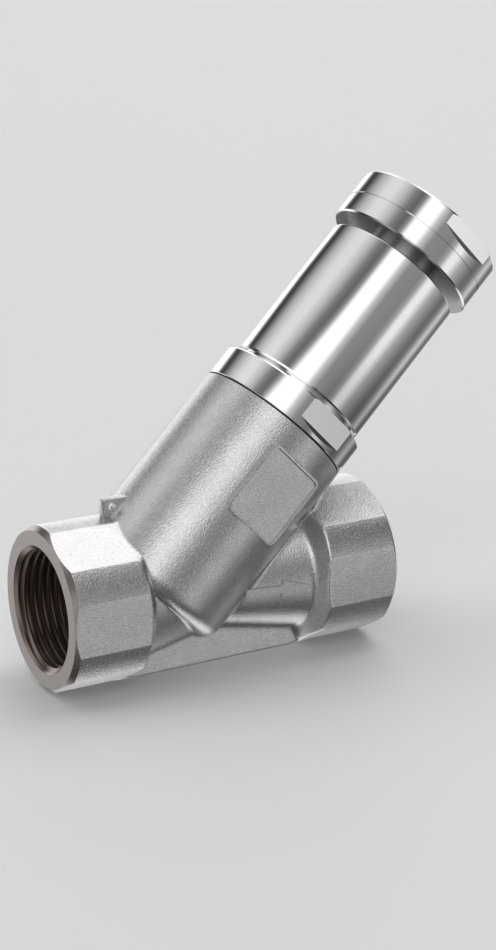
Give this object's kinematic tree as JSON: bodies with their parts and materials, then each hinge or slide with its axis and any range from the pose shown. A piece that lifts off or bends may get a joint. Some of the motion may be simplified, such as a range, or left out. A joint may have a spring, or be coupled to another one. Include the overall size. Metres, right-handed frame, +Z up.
{
  "type": "overflow valve",
  "caption": "Angle-seat spring-loaded overflow valve of stainless steel with two internally threaded hexagonal pipe ends, polished spring housing and adjusting cap.",
  "frame": {"origin": "centre of the inlet end face, on the pipe axis", "axes": "+X along the pipe axis from inlet to outlet, +Z up, the bonnet leans over the outlet in the XZ plane, -Y is the side with the cast pad"},
  "size_m": [0.1046, 0.0344, 0.0988],
  "materials": {
    "cast_steel": "blasted casting",
    "polished_steel": "turned and polished",
    "steel": "fine turned",
    "spring_steel": "drawn wire",
    "bronze": "turned",
    "rubber": "matte",
    "gasket": "matte",
    "ptfe": "matte"
  },
  "bodies": {
    "housing": {"valve_body": "cast_steel", "body_gasket": "gasket", "bonnet_collar": "polished_steel", "spigot_seal": "rubber", "guide_bush": "bronze", "stem_seals": "rubber", "gland_ring": "bronze", "gland_circlip": "steel", "spring_housing": "polished_steel", "housing_seal": "rubber", "pressure_spring": "spring_steel", "cap_seal": "rubber"},
    "valve": {"spindle": "steel", "valve_disc": "steel", "disc_seal": "ptfe", "seal_washer": "steel", "disc_nut": "steel", "lower_spring_plate": "steel", "plate_circlip": "steel"},
    "adjuster": {"upper_spring_plate": "steel", "thrust_washer": "bronze"},
    "cap": {"adjusting_cap": "polished_steel"}
  },
  "joints": [
    {"name": "valve_lift", "type": "slide", "parent": "housing", "child": "valve", "axis": [0.7071, 0, 0.7071], "range_m": [0, 0.005], "stiffness_N_per_m": 4000, "springref_m": -0.01, "deforming": ["pressure_spring"]},
    {"name": "cap_travel", "type": "slide", "parent": "housing", "child": "adjuster", "axis": [0.7071, 0, 0.7071], "range_m": [-0.00188, 0.00301], "deforming": ["pressure_spring"]},
    {"name": "cap_turn", "type": "hinge", "parent": "adjuster", "child": "cap", "pos_m": [0.08654, 0, 0.06364], "axis": [0.7071, 0, 0.7071], "range_deg": [-450, 720]}
  ],
  "couplings": [
    {"joint": "cap_travel", "follows": "cap_turn", "m_per_rad": 0.00023873}
  ]
}
